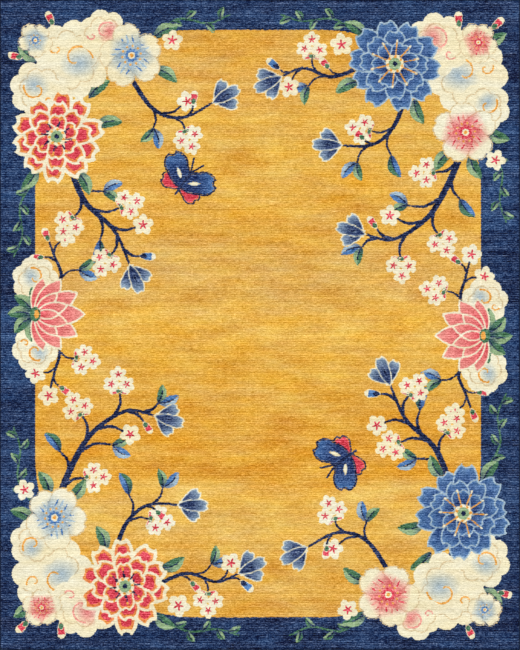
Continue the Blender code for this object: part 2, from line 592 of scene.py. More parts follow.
def work_lotus(chart, place, radius, way):
    """A flower seen from its side: a fan of pointed petals on a cup of leaves."""
    for degrees in LOTUS_LEAVES:
        leaf_place = ahead(place, 0.02, math.radians(degrees))
        work_leaf(chart, leaf_place, 0.48 * radius, 0.24 * radius, "fern", "sage")
    for degrees, share in LOTUS_PETALS:
        length = radius * share
        bearing = place[2] + math.radians(degrees)
        patch, along, across = chart.around((place[0], place[1], bearing), length)
        whole = blade(along + 0.04 * length, across, 1.02 * length, 0.44 * length)
        inside = whole + LOTUS_RIM
        chart.tuft(way["rim"], patch, whole)
        chart.tuft(way["band"], patch, inside)
        chart.blend(way["wash"], patch, fading(along, 0.75 * length, 1.3), inside)
    patch, along, across = chart.around(place, 0.3 * radius)
    chart.tuft("fern", patch, oval(along, across, 0.11 * radius, 0.15 * radius))
    chart.tuft("amber", patch, oval(along - 0.03 * radius, across, 0.05 * radius, 0.09 * radius))


def work_tendril(chart, points, leaves):
    """A thin green stem with small leaves to either side."""
    path = smooth_path(points)
    chart.stroke("fern", path, start_width=0.010, end_width=0.0075)
    for number in range(leaves):
        at = int((number + 1) / (leaves + 0.5) * (len(path) - 2))
        run = path[at + 1] - path[at]
        heading = math.atan2(run[1], run[0]) + (0.8 if number % 2 else -0.8)
        leaf_place = (*path[at], heading)
        work_leaf(chart, leaf_place, length=0.062, width=0.030, near="sage", far="fern")


# What a twig bears at its tip. Columns: motif, turn, distance ahead, then its own sizes and yarns
TWIG_ENDS = {
    "leaf": ((work_leaf, 0.0, 0.0, 0.115, 0.052, "denim", "fern"),),
    "pair": ((work_leaf, 0.5, 0.0, 0.105, 0.048, "denim", "sky"),
             (work_leaf, -0.5, 0.0, 0.090, 0.042, "fern", "sage")),
    "floret": ((work_floret, 0.0, 0.03, 0.050),),
    "cluster": ((work_bud, 1.7, 0.0, 0.048),
                (work_bud, -1.6, 0.0, 0.048),
                (work_floret, 0.9, 0.045, 0.040),
                (work_floret, -0.8, 0.050, 0.040),
                (work_floret, 0.0, 0.078, 0.040)),
    "bud": ((work_bud, 0.0, 0.0, 0.058),),
    "bluebud": ((work_bud, 0.0, 0.0, 0.065, "denim", "ink"),),
    "bloom": ((work_petal, -0.75, 0.0, 0.105, 0.062, TIP_WAY, 0.006),
              (work_petal, 0.75, 0.0, 0.105, 0.062, TIP_WAY, 0.006),
              (work_petal, 0.0, 0.0, 0.125, 0.062, TIP_WAY, 0.006)),
}


def dress_tip(chart, kind, place):
    """Work what a twig or a branch bears at its tip."""
    for work, turn, distance, *make in TWIG_ENDS[kind]:
        work(chart, ahead(place, distance, turn), *make)


def work_spray(chart, points, width, twigs, end="bloom"):
    """A branch along a curve, with twigs set along it, and a bloom or the like at its tip.

    A twig is how far along the branch it grows, its side, its length and what it bears.
    """
    path = smooth_path(points)
    for share, side, length, kind in twigs:
        at = min(max(int(share * (len(path) - 1)), 1), len(path) - 2)
        run = path[at + 1] - path[at - 1]
        root = (*path[at], math.atan2(run[1], run[0]) + TWIG_TURN * side)
        bow, tip = ahead(root, 0.55 * length, -TWIG_BOW * side), ahead(root, length)
        chart.stroke("ink", smooth_path([root[:2], bow[:2], tip[:2]], 5), 0.5 * width, TWIG_TIP)
        heading = math.atan2(tip[1] - bow[1], tip[0] - bow[0])
        dress_tip(chart, kind, (tip[0], tip[1], heading))
    chart.stroke("ink", path, width, BRANCH_TIP)
    run = path[-1] - path[-3]
    dress_tip(chart, end, (*path[-1], math.atan2(run[1], run[0])))


def work_butterfly(chart, place):
    """A butterfly with its wings spread, seen from above."""
    for side in (-1, 1):
        for turn, *make in WINGS:
            work_petal(chart, ahead(place, 0.0, turn * side), *make)
    head, tail = ahead(place, 0.06), ahead(place, -0.06)
    chart.stroke("ink", [tail[:2], head[:2]], start_width=0.010, end_width=0.020)
    for side in (-1, 1):
        feeler = ahead(head, 0.07, turn=0.4 * side)
        chart.stroke("ink", [head[:2], feeler[:2]], start_width=0.008, end_width=0.009)


# Layout of the motifs as they lie at the head's left, before mirroring. A place is x, y and a
# heading, in metres and radians. A spray is its points, its width at the root and its twigs.


def work_leaves(chart, places):
    """Loose leaves. Columns: x, y and heading in degrees."""
    for x, y, degrees in places:
        place = (x, y, math.radians(degrees))
        work_leaf(chart, place, length=0.130, width=0.058, near="fern", far="sage")


def work_end_corner(chart, rosette, wash):
    """A corner whose large flower lies on the end border."""
    work_spray(chart, ((-0.50, 1.22), (-0.34, 1.16), (-0.20, 1.20), (-0.08, 1.15)), 0.020,
               ((0.25, 1, 0.07, "bud"), (0.42, -1, 0.09, "pair"), (0.52, 1, 0.08, "cluster"),
                (0.70, -1, 0.08, "floret"), (0.84, 1, 0.06, "bluebud")))
    work_spray(chart, ((-0.96, 0.86), (-0.88, 0.66), (-0.78, 0.50), (-0.62, 0.40), (-0.47, 0.43)), 0.036,
               ((0.14, 1, 0.12, "cluster"), (0.24, -1, 0.10, "leaf"), (0.36, 1, 0.16, "pair"),
                (0.44, -1, 0.12, "cluster"), (0.56, 1, 0.13, "floret"), (0.66, -1, 0.12, "cluster"),
                (0.76, 1, 0.10, "bud"), (0.88, -1, 0.08, "pair")))
    work_spray(chart, ((-0.68, 1.06), (-0.62, 0.92), (-0.52, 0.84), (-0.36, 0.84)), 0.024,
               ((0.36, 1, 0.11, "cluster"), (0.42, -1, 0.10, "leaf"), (0.66, 1, 0.06, "bud"),
                (0.74, -1, 0.09, "pair")))
    work_tendril(chart, ((-0.46, 1.36), (-0.34, 1.43), (-0.20, 1.42), (-0.10, 1.45)), 5)
    work_tendril(chart, ((-1.06, 0.84), (-1.13, 0.72), (-1.12, 0.58), (-1.15, 0.48)), 5)
    work_leaves(chart, ((-0.50, 1.34, 35), (-0.47, 1.14, -25), (-0.72, 1.06, -110),
                        (-1.03, 1.32, 160), (-1.05, 0.92, 205), (-0.90, 0.82, -50),
                        (-0.98, 0.80, -115)))
    work_puff(chart, (-0.97, 1.17, 0.4), 0.190, 9)
    work_puff(chart, (-0.83, 1.31, 1.4), 0.150, 8, "rose", "coral_wash")
    work_puff(chart, (-1.05, 1.02, 2.6), 0.120, 7)
    work_rosette(chart, (-0.63, 1.22, 0.3), 0.225, rosette)
    work_blossom(chart, (-0.96, 0.90, 0.2), 0.150, wash)
    work_blossom(chart, (-1.02, 1.32, 0.9), 0.095)
    work_floret(chart, (-0.38, 1.31, 0.2), 0.055)
    work_floret(chart, (-1.10, 0.77, 0.7), 0.050)
    work_bud(chart, (-1.09, 1.39, 2.4), 0.065)
    work_bud(chart, (-0.93, 1.40, 1.5), 0.065)


def work_side_corner(chart, rosette, wash):
    """A corner whose large flower lies on the side border."""
    work_spray(chart, ((-0.90, 0.78), (-0.82, 0.58), (-0.68, 0.44), (-0.60, 0.26)), 0.034,
               ((0.20, 1, 0.14, "pair"), (0.30, -1, 0.11, "cluster"), (0.42, 1, 0.14, "cluster"),
                (0.54, -1, 0.11, "leaf"), (0.64, 1, 0.12, "floret"), (0.74, -1, 0.10, "cluster"),
                (0.86, 1, 0.09, "bluebud")))
    work_spray(chart, ((-0.62, 1.18), (-0.50, 1.01), (-0.36, 0.97), (-0.20, 1.05)), 0.024,
               ((0.34, -1, 0.09, "pair"), (0.44, 1, 0.11, "floret"), (0.60, -1, 0.08, "cluster"),
                (0.72, 1, 0.07, "bud")))
    work_tendril(chart, ((-1.04, 0.70), (-1.12, 0.56), (-1.11, 0.42), (-1.15, 0.32)), 5)
    work_tendril(chart, ((-0.48, 1.36), (-0.38, 1.43), (-0.24, 1.41), (-0.14, 1.45)), 4)
    work_leaves(chart, ((-0.50, 1.34, 25), (-0.50, 1.20, -30), (-1.02, 1.24, 150),
                        (-1.04, 0.74, -125), (-0.86, 0.72, -60), (-0.77, 0.93, 8),
                        (-0.80, 1.06, 40)))
    work_puff(chart, (-0.88, 1.24, 0.1), 0.185, 9)
    work_puff(chart, (-0.73, 1.36, 0.9), 0.115, 7, "rose", "coral_wash")
    work_puff(chart, (-1.03, 1.10, 2.9), 0.140, 8)
    work_rosette(chart, (-0.95, 0.88, 0.1), 0.225, rosette)
    work_blossom(chart, (-0.60, 1.26, 0.5), 0.150, wash)
    work_blossom(chart, (-1.05, 1.33, 0.9), 0.085, "sky_wash")
    work_floret(chart, (-0.41, 1.33, 0.2), 0.050)
    work_bud(chart, (-1.12, 1.25, 2.9), 0.060)
    work_bud(chart, (-0.97, 1.41, 2.0), 0.060)


def work_side(chart):
    """The middle of a side: a lotus between two puffs and two short sprays."""
    work_spray(chart, ((-1.02, 0.02), (-0.94, 0.12), (-0.96, 0.22), (-0.98, 0.30)), 0.020,
               ((0.34, -1, 0.09, "cluster"), (0.60, 1, 0.07, "floret"), (0.78, -1, 0.06, "bud")),
               "floret")
    work_spray(chart, ((-1.02, -0.12), (-0.93, -0.22), (-0.96, -0.32), (-0.99, -0.40)), 0.020,
               ((0.34, 1, 0.09, "pair"), (0.60, -1, 0.07, "bud"), (0.74, 1, 0.07, "floret")), "bud")
    work_puff(chart, (-1.05, 0.11, 1.2), 0.110, 7)
    work_puff(chart, (-1.05, -0.21, 4.4), 0.110, 7)
    work_lotus(chart, (-1.05, -0.05, 0.0), 0.23, ROSE_WAY)


def work_chart(chart):
    """The whole chart: gold field, flowered quarters and sides, and two butterflies."""
    patch, x, y = chart.spots(PANEL_LOW, PANEL_HIGH)
    chart.tuft("gold", patch, field_edge(x, y))
    for mirror, rosette, wash in (((-1, 1), BLUE_ROSETTE, "coral_wash"),
                                  ((1, -1), CORAL_ROSETTE, "sky_wash")):
        chart.mirror = mirror
        work_side(chart)
        work_end_corner(chart, rosette, wash)
    for mirror, rosette, wash in (((1, 1), CORAL_ROSETTE, "sky_wash"),
                                  ((-1, -1), BLUE_ROSETTE, "coral_wash")):
        chart.mirror = mirror
        work_side_corner(chart, rosette, wash)
    chart.mirror = (-1, 1)
    work_butterfly(chart, (0.36, 0.66, 2.2))
    work_butterfly(chart, (-0.40, -0.62, -0.6))


# The pile's surface


class PileSurface:
    """Height and place of every spot of the pile, worked out for the whole panel at once.

    Even lines lie in the furrows between rows, and odd ones on the crests, which are painted paler than
    the furrows as painted shade.
    """

    def __init__(self, pile):
        self.x = np.linspace(PANEL_LOW.x, PANEL_HIGH.x, pile.spots + 1)
        self.y = np.linspace(PANEL_LOW.y, PANEL_HIGH.y, 2 * pile.rows + 1)
        self.tighten_rim(self.x, pile.rim)
        self.tighten_rim(self.y, pile.rim)
        dice = np.random.default_rng(PILE_SEED)
        shape = (len(self.y), len(self.x))
        crest = (np.arange(shape[0]) % 2)[:, None]
        swell = self.wavering(dice, shape, SWELL_SPOTS) * pile.unevenness
        tufts = dice.uniform(-0.5, 0.5, shape) * pile.unevenness
        height = PANEL_HIGH.z - pile.furrow * (1 - crest) + swell + tufts * crest
        self.z = height - self.rim_drop(pile.rim)
        self.stray = self.wavering(dice, shape, STRAY_SPOTS) * pile.wander
        self.stray[0] = 0
        self.stray[-1] = 0
        self.streak = sum(strength * self.wavering(dice, shape, step) for step, strength in STREAKS)
        self.streak += dice.uniform(-ROW_DIFFERENCE, ROW_DIFFERENCE, (shape[0], 1))
        # Painted shade: furrows between rows darker, crests paler
        self.streak += CREST_AND_FURROW_PAINTED_SHADE * (crest - 0.5)
        shifted = self.y[:, None] + ABRASH_STRAY * self.wavering(dice, (1, shape[1]), ABRASH_SPOTS)
        places, *dyes = np.array(ABRASH).T
        self.paleness, self.brightness = (np.interp(shifted, places, dye) for dye in dyes)

    @staticmethod
    def tighten_rim(line, rim):
        """Draw the outermost lines together, so that the rim is round and not one slope."""
        for end, inward in ((0, 1), (-1, -1)):
            for number, inset in enumerate(RIM_LINES, 1):
                line[end + number * inward] = line[end] + inward * rim * inset

    @staticmethod
    def wavering(dice, shape, step):
        """A value from -1 to 1 for each spot, drawn anew every so many spots and smooth between."""
        knots = np.arange(0, shape[1] + step, step)
        values = dice.uniform(-1, 1, (shape[0], len(knots)))
        columns = np.arange(shape[1])
        return np.array([np.interp(columns, knots, row) for row in values])

    def rim_drop(self, rim):
        """How far the pile rounds down towards the panel's rim."""
        def drop(line):
            inset = np.clip(np.minimum(line - line[0], line[-1] - line), 0, rim)
            return rim - np.sqrt(rim ** 2 - (rim - inset) ** 2)
        return np.maximum(drop(self.y)[:, None], drop(self.x)[None, :])


def only_selected(piece):
    bpy.ops.object.select_all(action="DESELECT")
    piece.select_set(True)
    bpy.context.view_layer.objects.active = piece


def read_all(items, name, kind, size=1):
    """One property of all of a mesh's points, corners or faces, a row for each."""
    values = np.empty(len(items) * size, kind)
    items.foreach_get(name, values)
    return values.reshape(-1, size) if size > 1 else values


def slab_of_spots(name, columns, rows, low, high):
    """A closed slab between two corners whose top is a grid of spots."""
    bpy.ops.object.select_all(action="DESELECT")
    bpy.ops.mesh.primitive_grid_add(x_subdivisions=columns, y_subdivisions=rows, size=1.0)
    slab = bpy.context.object
    slab.name = name
    bpy.ops.object.mode_set(mode="EDIT")
    bpy.ops.mesh.select_all(action="SELECT")
    bpy.ops.transform.resize(value=(high[0] - low[0], high[1] - low[1], 1.0))
    middle = ((low[0] + high[0]) / 2, (low[1] + high[1]) / 2, high[2])
    bpy.ops.transform.translate(value=middle)
    bpy.ops.mesh.region_to_loop()
    bpy.ops.mesh.extrude_edges_move(TRANSFORM_OT_translate={"value": (0.0, 0.0, low[2] - high[2])})
    bpy.ops.mesh.edge_face_add()
    bpy.ops.mesh.select_all(action="SELECT")
    bpy.ops.mesh.normals_make_consistent(inside=False)
    bpy.ops.object.mode_set(mode="OBJECT")
    return slab


def lay_out_map(slab, low, high):
    """A map that gives the top nearly all of its room, and the underside and walls a strip each."""
    mesh = slab.data
    corner_points = read_all(mesh.loops, "vertex_index", np.int32)
    points = read_all(mesh.vertices, "co", np.float32, 3)
    share = (points[corner_points] - low) / (np.array(high) - low)
    normals = read_all(mesh.polygons, "normal", np.float32, 3)
    facing = np.repeat(normals, read_all(mesh.polygons, "loop_total", np.int32), axis=0)
    axis = np.abs(facing[:, :2]).argmax(axis=1)
    outward = facing[np.arange(len(facing)), axis]
    wall = np.abs(facing).max(axis=1) == np.abs(outward)
    u = MAP_SIDE + (1 - 2 * MAP_SIDE) * np.where(wall & (axis == 0), share[:, 1], share[:, 0])
    wall_v = WALL_START + WALL_STEP * (2 * axis + (outward > 0)) + WALL_STRIP * share[:, 2]
    top_v = TOP_START + TOP_STRIP * share[:, 1]
    under_v = UNDER_START + UNDER_STRIP * share[:, 1]
    v = np.where(wall, wall_v, np.where(facing[:, 2] > 0, top_v, under_v))
    layer = mesh.uv_layers.new(name="OFBake")
    layer.data.foreach_set("uv", np.stack((u, v), axis=1).astype(np.float32).ravel())


def shape_band(band, surface, chart, first):
    """Move the band's top spots to their places, and give each its distances in the chart."""
    mesh = band.data
    points = read_all(mesh.vertices, "co", np.float32, 3)
    count = int((points[:, 2] > PANEL_HIGH.z / 2).sum())
    lines = count // len(surface.x)
    rows = slice(first, first + lines)
    points[:count, 0] = np.tile(surface.x, lines)
    points[:count, 1] = (surface.y[rows, None] + surface.stray[rows]).ravel()
    points[:count, 2] = surface.z[rows].ravel()
    mesh.vertices.foreach_set("co", points.ravel())
    dyes = {name: getattr(surface, name) for name in DYES_AND_FURROW_SHADE}
    for values, start in ((chart.edge, FAR), (chart.wash, 0.0), (dyes, 0.0)):
        for name, spots in values.items():
            numbers = np.full(len(mesh.vertices), start, np.float32)
            numbers[:count] = spots[rows].ravel()
            attribute = mesh.attributes.new(name=name, type="FLOAT", domain="POINT")
            attribute.data.foreach_set("value", numbers)
    mesh.update()


# Node groups and materials

# Noises. Columns: features a metre along X, Y and Z, detail, spread
NOISES = {"fine streaks": ((45.0, 310.0, 1.0), 1.0, 6.0),
          "speckle": ((140.0, 240.0, 1.0), 1.0, 6.0),
          "paleness": ((3.6, 11.0, 1.0), 4.0, 9.5),
          "brightness": ((5.0, 14.0, 1.0), 4.0, 8.5),
          "edge shift": ((60.0, 190.0, 1.0), 1.0, 0.012),
          "cut ends": ((240.0, 240.0, 1.0), 3.0, 1.6),
          "clumps": ((45.0, 150.0, 1.0), 1.0, 1.2),
          "slub": ((9.0, 120.0, 1.0), 2.0, 1.0),
          "turns": ((190.0, 190.0, 60.0), 2.0, 2.4),
          "plies": ((700.0, 700.0, 250.0), 2.0, 0.0016),
          "mottle": ((3.0, 3.0, 3.0), 4.0, 1.0)}
NOISE_ROUGHNESS = 0.6

# How far the noise of the brightness is taken from the place, so that it differs from the others
BRIGHTNESS_SHIFT = (5.0, 3.0, 0.0)

# How the dye's changes move a ground's red, green and blue. Columns: paleness, brightness
DYE_WAYS = {"navy": ((0.006, 0.010, 0.012), (0.034, 0.050, 0.060)),
            "gold": ((0.012, 0.035, 0.051), (0.018, 0.017, -0.012)),
            "cream": ((0.000, 0.008, 0.026), (0.006, 0.012, 0.018))}
WASH_STRENGTH = 0.85

# How strongly a shade acts on black, how much less on white, and the darkest value left
SHADE_ON_BLACK, SHADE_FALL = 1.19, -0.88
DARKEST = 0.03

# The screen's curve from a value as seen to a linear one
CURVE_SCALE, CURVE_OFFSET, CURVE_POWER = 0.948, 0.0521, 2.4

# Threads a metre in the backing's weave, as the wave texture counts, and their relief
WEAVE_THREADS = 160.0
WEAVE_RELIEF = 0.0006

# What is the same on every material
SPECULAR = 0.05
SHEEN_ROUGHNESS = 0.6

# Room for a node in the editor, and how many stand in a column
NODE_WIDTH, NODE_HEIGHT, NODES_IN_COLUMN = 230, 190, 5

# Colour sockets of the Mix node, which also has sockets for plain values and vectors
MIX_SHARE, MIX_UNDER, MIX_OVER, MIX_RESULT = 0, 6, 7, 2


def feed(tree, socket, value):
    """Link a node's output to a socket, or set a plain value."""
    if isinstance(value, bpy.types.NodeSocket):
        tree.links.new(value, socket)
    else:
        socket.default_value = value


def feed_all(tree, node, inputs):
    """Feed a node's inputs by name or number."""
    for socket, value in inputs.items():
        feed(tree, node.inputs[socket], value)


def add_node(tree, kind, inputs, **settings):
    """Add a node with its settings, and feed its inputs."""
    column, line = divmod(len(tree.nodes), NODES_IN_COLUMN)
    node = tree.nodes.new(kind)
    node.location = (NODE_WIDTH * column, -NODE_HEIGHT * line)
    for name, value in settings.items():
        setattr(node, name, value)
    feed_all(tree, node, inputs)
    return node


def calculate(tree, operation, *values, clamp=False):
    """A sum with plain values or other nodes' outputs."""
    node = add_node(tree, "ShaderNodeMath", dict(enumerate(values)), operation=operation,
                    use_clamp=clamp)
    return node.outputs[0]


def calculate_each(tree, operation, *values):
    """The same sum for each part of a colour or a place."""
    node = add_node(tree, "ShaderNodeVectorMath", dict(enumerate(values)), operation=operation)
    return node.outputs[0]


def mix_colours(tree, share, under, over):
    inputs = {MIX_SHARE: share, MIX_UNDER: under, MIX_OVER: over}
    return add_node(tree, "ShaderNodeMix", inputs, data_type="RGBA").outputs[MIX_RESULT]


def new_group(name, inputs, outputs):
    """An empty node group in place of an older one: its tree, inputs by name and output node."""
    if name in bpy.data.node_groups:
        bpy.data.node_groups.remove(bpy.data.node_groups[name])
    tree = bpy.data.node_groups.new(name, "ShaderNodeTree")
    for label, kind, start in inputs:
        socket = tree.interface.new_socket(label, in_out="INPUT", socket_type="NodeSocket" + kind)
        if kind != "Vector":
            socket.default_value = start
    for label, kind in outputs:
        tree.interface.new_socket(label, in_out="OUTPUT", socket_type="NodeSocket" + kind)
    given = tree.nodes.new("NodeGroupInput").outputs
    return tree, given, tree.nodes.new("NodeGroupOutput")


def place_group(tree, name, inputs):
    return add_node(tree, "ShaderNodeGroup", inputs, node_tree=bpy.data.node_groups[name]).outputs


def stretched_noise(tree, place, name):
    """Noise from the table, centred on 0."""
    per_metre, detail, spread = NOISES[name]
    scaled = add_node(tree, "ShaderNodeMapping", {"Vector": place, "Scale": per_metre}).outputs[0]
    inputs = {"Vector": scaled, "Scale": 1.0, "Detail": detail, "Roughness": NOISE_ROUGHNESS}
    noise = add_node(tree, "ShaderNodeTexNoise", inputs).outputs[0]
    return calculate(tree, "MULTIPLY", calculate(tree, "SUBTRACT", noise, 0.5), spread)


def make_streaks_group():
    """Unevenness of dyed and spun wool, in short streaks along the rows and in slow patches; the streaks
    also carry the painted shade of the furrows.
    """
    tree, given, out = new_group(
        "wool_streaks", [("Place", "Vector", None), ("Streak", "Float", 0.0)],
        [("Streaks", "Float"), ("Paleness", "Float"), ("Brightness", "Float"), ("Edge Shift", "Float")])
    place = given["Place"]
    shifted = calculate_each(tree, "ADD", place, BRIGHTNESS_SHIFT)
    spun = calculate(tree, "ADD", *(stretched_noise(tree, place, name)
                                    for name in ("fine streaks", "speckle")))
    feed_all(tree, out, {"Streaks": calculate(tree, "ADD", spun, given["Streak"]),
                         "Paleness": stretched_noise(tree, place, "paleness"),
                         "Brightness": stretched_noise(tree, shifted, "brightness"),
                         "Edge Shift": stretched_noise(tree, place, "edge shift")})


def make_yarn_group(softness):
    """One yarn over another, up to the yarn's edge."""
    tree, given, out = new_group(
        "yarn_over",
        [("Under", "Color", (0, 0, 0, 1)), ("Yarn", "Color", (1, 1, 1, 1)),
         ("Distance", "Float", FAR), ("Edge Shift", "Float", 0.0)], [("Colour", "Color")])
    shifted = calculate(tree, "ADD", given["Distance"], given["Edge Shift"])
    share = calculate(tree, "MULTIPLY_ADD", shifted, -1.0 / softness, 0.5, clamp=True)
    feed_all(tree, out, {"Colour": mix_colours(tree, share, given["Under"], given["Yarn"])})


def make_shading_group():
    """Lighten or darken a colour as seen, and give it in the linear values that shaders take."""
    tree, given, out = new_group(
        "shaded_wool",
        [("Colour", "Color", (1, 1, 1, 1)), ("Shade", "Float", 0.0), ("Strength", "Float", 0.1)],
        [("Colour", "Color")])
    lightness = add_node(tree, "ShaderNodeRGBToBW", {0: given["Colour"]}).outputs[0]
    weight = calculate(tree, "MULTIPLY_ADD", lightness, SHADE_FALL, SHADE_ON_BLACK)
    change = calculate(tree, "MULTIPLY", calculate(tree, "MULTIPLY", given["Shade"], weight),
                       given["Strength"])
    changed = calculate_each(tree, "ADD", change, given["Colour"])
    kept = calculate_each(tree, "MAXIMUM", changed, (DARKEST,) * 3)
    scaled = calculate_each(tree, "MULTIPLY_ADD", kept, (CURVE_SCALE,) * 3, (CURVE_OFFSET,) * 3)
    linear = add_node(tree, "ShaderNodeGamma", {"Color": scaled, "Gamma": CURVE_POWER}).outputs[0]
    feed_all(tree, out, {"Colour": linear})


def make_fibre_group():
    """Height of the cut yarn ends and their fibres."""
    tree, given, out = new_group("cut_fibres", [("Place", "Vector", None), ("Depth", "Float", 0.001)],
                                 [("Height", "Float")])
    both = calculate(tree, "ADD", *(stretched_noise(tree, given["Place"], name)
                                    for name in ("cut ends", "clumps")))
    feed_all(tree, out, {"Height": calculate(tree, "MULTIPLY", both, given["Depth"])})


def make_weave_group():
    """Plain weave of threads crossing each other."""
    tree, given, out = new_group(
        "plain_weave", [("Place", "Vector", None), ("Threads", "Float", WEAVE_THREADS)],
        [("Height", "Float")])
    inputs = {"Vector": given["Place"], "Scale": given["Threads"]}
    waves = [add_node(tree, "ShaderNodeTexWave", inputs, bands_direction=direction).outputs["Fac"]
             for direction in ("X", "Y")]
    feed_all(tree, out, {"Height": calculate(tree, "MAXIMUM", *waves)})


def opaque(colour):
    return (*colour, 1.0)


def shaded(tree, colour, shade, strength):
    """A colour with its shade, as the shader takes it."""
    inputs = {"Colour": colour, "Shade": shade, "Strength": strength}
    return place_group(tree, "shaded_wool", inputs)["Colour"]


def new_material(name, roughness, sheen):
    """A material whose shader has only what is the same all over it."""
    material = bpy.data.materials.new(name)
    material.use_nodes = True
    tree = material.node_tree
    shader = tree.nodes["Principled BSDF"]
    feed_all(tree, shader, {"Roughness": roughness, "Specular IOR Level": SPECULAR,
                            "Sheen Weight": sheen, "Sheen Roughness": SHEEN_ROUGHNESS})
    place = add_node(tree, "ShaderNodeTexCoord", {}).outputs["Object"]
    return material, tree, shader, place


def finish_material(tree, shader, colour, height, strength):
    inputs = {"Height": height, "Strength": strength, "Distance": 1.0}
    bump = add_node(tree, "ShaderNodeBump", inputs).outputs[0]
    feed_all(tree, shader, {"Base Color": colour, "Normal": bump})


def make_wool(yarns, pile):
    """Wool pile in every yarn of the chart, streaked along its rows, with painted shade in the furrows
    between rows.
    """
    material, tree, shader, place = new_material("tufted_wool", roughness=0.92, sheen=0.02)
    spot = {name: add_node(tree, "ShaderNodeAttribute", {}, attribute_name=name).outputs["Fac"]
            for name in (*YARNS[1:], *WASHES, *DYES_AND_FURROW_SHADE)}
    wool = place_group(tree, "wool_streaks", {"Place": place, "Streak": spot["streak"]})
    slow = [calculate(tree, "MULTIPLY", calculate(tree, "ADD", wool[noise], spot[band]), pile.abrash)
            for noise, band in (("Paleness", "paleness"), ("Brightness", "brightness"))]
    shades = {yarn: opaque(getattr(yarns, yarn)) for yarn in YARNS}
    for yarn, directions in DYE_WAYS.items():
        shades[yarn] = getattr(yarns, yarn)[:]
        for amount, direction in zip(slow, directions):
            shades[yarn] = calculate_each(tree, "MULTIPLY_ADD", amount, direction, shades[yarn])
    colour = shades["navy"]
    for yarn in YARNS[1:]:
        layer = {"Under": colour, "Yarn": shades[yarn], "Distance": spot[yarn],
                 "Edge Shift": wool["Edge Shift"]}
        colour = place_group(tree, "yarn_over", layer)["Colour"]
    for wash in WASHES:
        share = calculate(tree, "MULTIPLY", spot[wash], WASH_STRENGTH, clamp=True)
        colour = mix_colours(tree, share, colour, opaque(getattr(yarns, wash)))
    # The streaks lighten and darken the colour, painted shade in the furrows included
    colour = shaded(tree, colour, wool["Streaks"], pile.streaks)
    height = place_group(tree, "cut_fibres", {"Place": place, "Depth": pile.fibre})["Height"]
    finish_material(tree, shader, colour, height, strength=0.4)
    return material


def make_backing(yarns):
    """Unbleached cotton cloth on the underside."""
    material, tree, shader, place = new_material("backing_cotton", roughness=0.9, sheen=0.0)
    weave = place_group(tree, "plain_weave", {"Place": place, "Threads": WEAVE_THREADS})["Height"]
    slub = stretched_noise(tree, place, "slub")
    colour = shaded(tree, opaque(yarns.backing), slub, strength=0.25)
    height = calculate(tree, "MULTIPLY", weave, WEAVE_RELIEF)
    finish_material(tree, shader, colour, height, strength=0.7)
    return material


def make_edge_yarn(yarns):
    """Plied navy yarn whipped over the edge."""
    material, tree, shader, place = new_material("whipped_yarn", roughness=0.85, sheen=0.03)
    turns, plies = (stretched_noise(tree, place, name) for name in ("turns", "plies"))
    colour = shaded(tree, opaque(yarns.edge), turns, strength=0.08)
    finish_material(tree, shader, colour, plies, strength=0.8)
    return material


# Operators


class RUG_OT_tuft_panel(bpy.types.Operator):
    """Tuft the panel: navy border, gold field and flowers in one flat pile"""

    bl_idname = "rug.tuft_panel"
    bl_label = "Tuft the panel"

    def execute(self, context):
        pile, yarns = context.scene.rug_pile, context.scene.rug_yarns
        surface = PileSurface(pile)
        chart = YarnChart(surface.x, surface.y)
        work_chart(chart)
        make_streaks_group()
        make_yarn_group(pile.edge_softness)
        make_shading_group()
        make_fibre_group()
        make_weave_group()
        wool, backing = make_wool(yarns, pile), make_backing(yarns)
        lines = 2 * pile.rows // pile.bands
        for number in range(pile.bands):
            first = number * lines
            low = (PANEL_LOW.x, surface.y[first], PANEL_LOW.z)
            high = (PANEL_HIGH.x, surface.y[first + lines], PANEL_HIGH.z)
            band = slab_of_spots(f"pile_band_{number + 1}", pile.spots, lines, low, high)
            shape_band(band, surface, chart, first)
            self.dress(band, wool, backing)
            lay_out_map(band, low, high)
            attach(band, "root")
            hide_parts("tufted_panel")
        return {"FINISHED"}

    @staticmethod
    def dress(band, wool, backing):
        """Wool all over, cotton on the underside, and a crisp edge between top and walls."""
        mesh = band.data
        mesh.materials.append(wool)
        mesh.materials.append(backing)
        for face in mesh.polygons:
            if face.normal.z < FACING_DOWN:
                face.material_index = 1
        only_selected(band)
        bpy.ops.object.shade_smooth_by_angle(angle=PANEL_CREASE)


